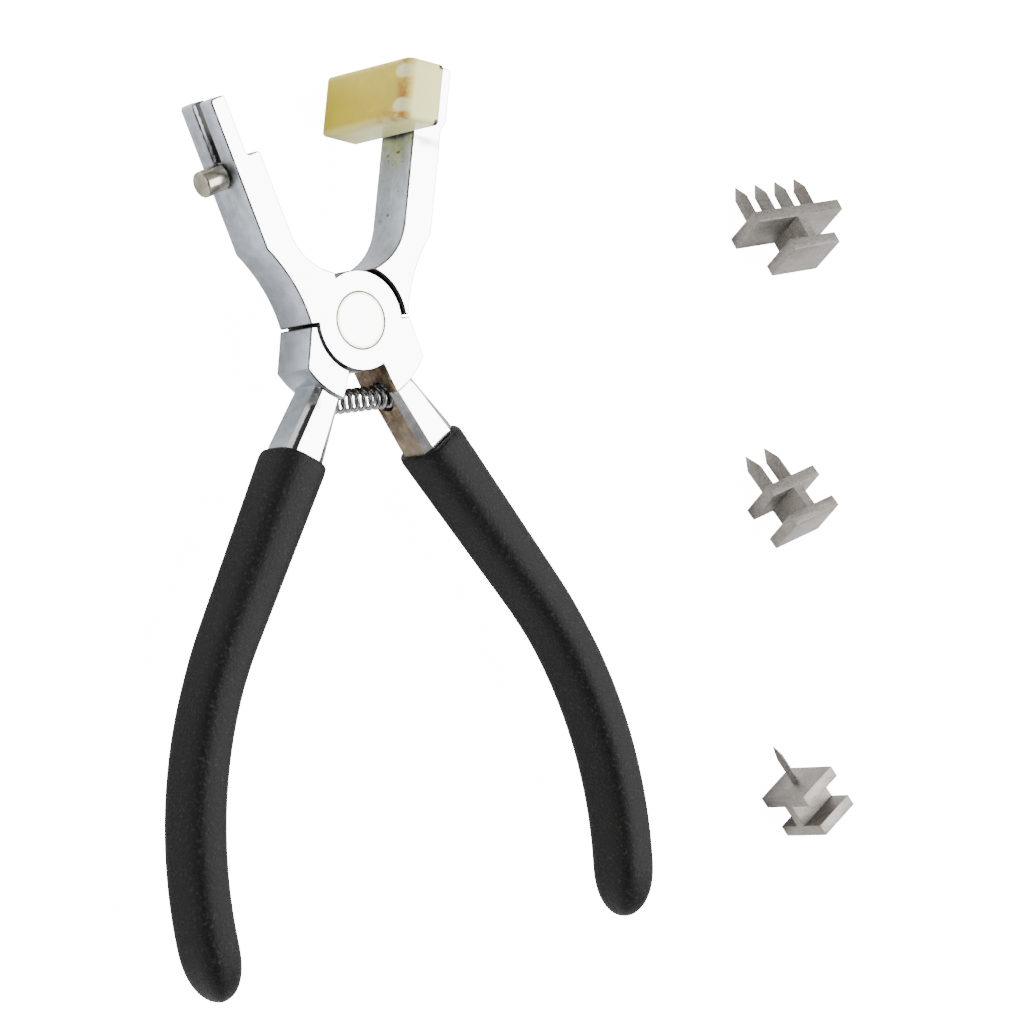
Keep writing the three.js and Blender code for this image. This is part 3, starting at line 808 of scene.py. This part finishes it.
def pebbled_vinyl():
    material, tree, shader = new_material("black_vinyl", 0.6, 0.0)
    broad = object_noise(tree, 60, 3)
    pebble = object_noise(tree, 1500, 4, 0.6)
    colour = ramp(tree, pebble, [
        (0.34, shade(0.002)),
        (0.55, shade(0.005)),
        (0.68, shade(0.024, (1, 1.01, 1.02))),
    ])
    worn = blend_colours(tree, fade(tree, broad, 0.5, 0.75, 0, 0.35), colour, shade(0.009))
    tree.links.new(worn, shader.inputs["Base Color"])
    tree.links.new(fade(tree, pebble, 0.3, 0.7, 0.48, 0.66), shader.inputs["Roughness"])
    shader.inputs["Specular IOR Level"].default_value = 0.16
    fine = product(tree, object_noise(tree, 4200, 3), 0.35)
    bump(tree, shader, maths(tree, "ADD", pebble, fine), 0.00022, 0.65)
    return material


def squircle(turn, half_width, half_depth, power=0.64):
    """A point of the soft rounded-rectangle section; a lower power makes it squarer."""
    cosine = math.cos(turn)
    sine = math.sin(turn)
    return (
        math.copysign(abs(cosine) ** power, cosine) * half_width,
        math.copysign(abs(sine) ** power, sine) * half_depth,
    )


def dipped_grip(side):
    """A tube ringed with corners, bent along the handle, closed at the tip and rolled in at the rim."""
    mesh = bmesh.new()
    bmesh.ops.create_cone(mesh, cap_ends=False, segments=grip_corners, radius1=1, radius2=1, depth=1)
    bmesh.ops.translate(mesh, verts=mesh.verts, vec=(0, 0, 0.5))
    lengthwise = [edge for edge in mesh.edges if abs(edge.verts[0].co.z - edge.verts[1].co.z) > 0.5]
    bmesh.ops.subdivide_edges(mesh, edges=lengthwise, cuts=grip_rings, use_grid_fill=True)
    for vertex in mesh.verts:
        turn = math.atan2(vertex.co.y, vertex.co.x)
        # Rings gather towards the rim and the tip, where the section changes fastest.
        share = 0.5 - 0.5 * math.cos(math.pi * vertex.co.z)
        station = grip_start + (grip_end - grip_start) * share
        centre, outwards = handle_frame(station, side)
        half_width, half_depth = grip_swell(station)
        across_grip, up_grip = squircle(turn, half_width, half_depth)
        vertex.co = centre + outwards * across_grip + Vector((0, 0, up_grip))
    rim_start = handle_frame(grip_start, side)[0]
    rim_edges = [
        edge for edge in mesh.edges
        if edge.is_boundary and (edge.verts[0].co - rim_start).length < 0.02
    ]
    tip_edges = [edge for edge in mesh.edges if edge.is_boundary and edge not in rim_edges]
    bmesh.ops.holes_fill(mesh, edges=tip_edges, sides=0)
    # The rim turns in to the steel and a little way down the bore.
    inward = bmesh.ops.extrude_edge_only(mesh, edges=rim_edges)["geom"]
    lip = [item for item in inward if isinstance(item, bmesh.types.BMVert)]
    around_rim = Matrix.Translation(-rim_start)
    bmesh.ops.scale(mesh, verts=lip, vec=(grip_bore, grip_bore, grip_bore), space=around_rim)
    lip_edges = [item for item in inward if isinstance(item, bmesh.types.BMEdge) and item.is_boundary]
    deeper = bmesh.ops.extrude_edge_only(mesh, edges=lip_edges)["geom"]
    inner_verts = [item for item in deeper if isinstance(item, bmesh.types.BMVert)]
    down_bore = handle_frame(grip_start + grip_bore_depth, side)[0] - rim_start
    bmesh.ops.translate(mesh, verts=inner_verts, vec=down_bore)
    inner_edges = [item for item in deeper if isinstance(item, bmesh.types.BMEdge) and item.is_boundary]
    bmesh.ops.holes_fill(mesh, edges=inner_edges, sides=0)
    bmesh.ops.recalc_face_normals(mesh, faces=mesh.faces)
    return mesh


vinyl = pebbled_vinyl()
for grip_node, grip_body, grip_side in (("left_grip", "rear_side", -1), ("right_grip", "front_side", 1)):
    grip = finished_piece(dipped_grip(grip_side), grip_node + "_sleeve", vinyl, math.radians(80))
    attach(grip, grip_body)
    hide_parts(grip_node)


# Loose punch dies: one, two or four prongs on an H-shaped foot, each wire-cut from one bar of tool
# steel. The cut ends keep fine lines from the wire, and nothing is polished.
die_edge_round = 0.00012
die_edge_angle = math.radians(35)
die_bodies = {
    "die_four_prong": "four_prong_die",
    "die_two_prong": "two_prong_die",
    "die_one_prong": "one_prong_die",
}


def wire_cut_steel():
    material, tree, shader = new_material("wire_cut_steel", 0.5, 0.85)
    grain = object_noise(tree, 2600, 5, 0.7)
    cloud = object_noise(tree, 130, 4)
    lines = object_noise(tree, 900, 3, 0.6, stretch=(0.12, 0.9, 3.2))
    colour = ramp(tree, grain, [
        (0.3, (0.12, 0.108, 0.094, 1)),
        (0.5, (0.25, 0.230, 0.207, 1)),
        (0.72, (0.42, 0.392, 0.360, 1)),
    ])
    cloudy = blend_colours(tree, fade(tree, cloud, 0.42, 0.68, 0, 0.5), colour, (0.13, 0.108, 0.088, 1))
    striped = blend_colours(tree, fade(tree, lines, 0.45, 0.62, 0, 0.45), cloudy, (0.30, 0.285, 0.27, 1))
    tree.links.new(striped, shader.inputs["Base Color"])
    tree.links.new(fade(tree, grain, 0.3, 0.7, 0.42, 0.60), shader.inputs["Roughness"])
    height = maths(tree, "ADD", product(tree, grain, 0.7), product(tree, lines, 0.9))
    bump(tree, shader, height, 0.00007, 0.6)
    return material


die_steel = wire_cut_steel()
for die_node, die_body in die_bodies.items():
    die_mesh = dissolved_copy(die_node)
    round_sharp_edges(die_mesh, die_edge_round, die_edge_angle)
    punch_die = finished_piece(die_mesh, die_node + "_steel", die_steel)
    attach(punch_die, die_body)
    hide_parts(die_node)


# Studio floor and light: white paper, a large soft light high on the right, and a weaker one low on
# the left that runs along the side faces. The paper is lit from below, as on a light table, but
# only a little of its glow is let onto the tool.
floor_level = cad_box[0][2] - 0.0002
floor_glow = 16.0
floor_bounce = 0.1
floor_mesh = bmesh.new()
bmesh.ops.create_grid(floor_mesh, x_segments=1, y_segments=1, size=3)
bmesh.ops.translate(floor_mesh, verts=floor_mesh.verts, vec=(0, 0, floor_level))
floor_data = bpy.data.meshes.new("floor")
floor_mesh.to_mesh(floor_data)
floor_mesh.free()
floor_paper, floor_tree, floor_shader = new_material("white_paper", 0.9, 0.0)
paper_tone = ramp(floor_tree, object_noise(floor_tree, 6, 2), [(0.3, shade(0.93)), (0.7, shade(0.95))])
floor_tree.links.new(paper_tone, floor_shader.inputs["Base Color"])
floor_tree.links.new(paper_tone, floor_shader.inputs["Emission Color"])
seen_directly = floor_tree.nodes.new("ShaderNodeLightPath").outputs["Is Camera Ray"]
glow = fade(floor_tree, seen_directly, 0, 1, floor_bounce, floor_glow)
floor_tree.links.new(glow, floor_shader.inputs["Emission Strength"])
floor_data.materials.append(floor_paper)
floor = bpy.data.objects.new("floor", floor_data)
bpy.context.scene.collection.objects.link(floor)


def soft_light(name, place, target, width, height, watts):
    lamp = bpy.data.lights.new(name, "AREA")
    lamp.shape = "RECTANGLE"
    lamp.size = width
    lamp.size_y = height
    lamp.energy = watts
    light = bpy.data.objects.new(name, lamp)
    direction = Vector(target) - Vector(place)
    light.rotation_euler = direction.to_track_quat("-Z", "Y").to_euler()
    light.location = place
    bpy.context.scene.collection.objects.link(light)
    return light


soft_light("overhead", place=(0.62, -0.05, 0.82), target=(0.03, -0.04, 0), width=0.8, height=0.8, watts=21)
soft_light("left_side", place=(-0.9, 0.1, 0.35), target=(0.03, -0.03, 0), width=0.7, height=0.5, watts=2.5)

# The room is white, with a dark patch high on the tool's left that the rounded edges pick up.
room_brightness = 0.9
dark_patch = 0.10
dark_patch_side = Vector((-0.598, 0.011, 0.801))
patch_edge = (0.72, 0.9)
world = bpy.data.worlds.new("studio")
world.use_nodes = True
room = world.node_tree
direction = room.nodes.new("ShaderNodeTexCoord")
towards_patch = room.nodes.new("ShaderNodeVectorMath")
towards_patch.operation = "DOT_PRODUCT"
towards_patch.inputs[1].default_value = dark_patch_side
room.links.new(direction.outputs["Generated"], towards_patch.inputs[0])
brightness = fade(room, towards_patch.outputs["Value"], *patch_edge, room_brightness, dark_patch)
room.links.new(brightness, room.nodes["Background"].inputs["Strength"])
room.nodes["Background"].inputs["Color"].default_value = (1, 1, 1, 1)
bpy.context.scene.world = world
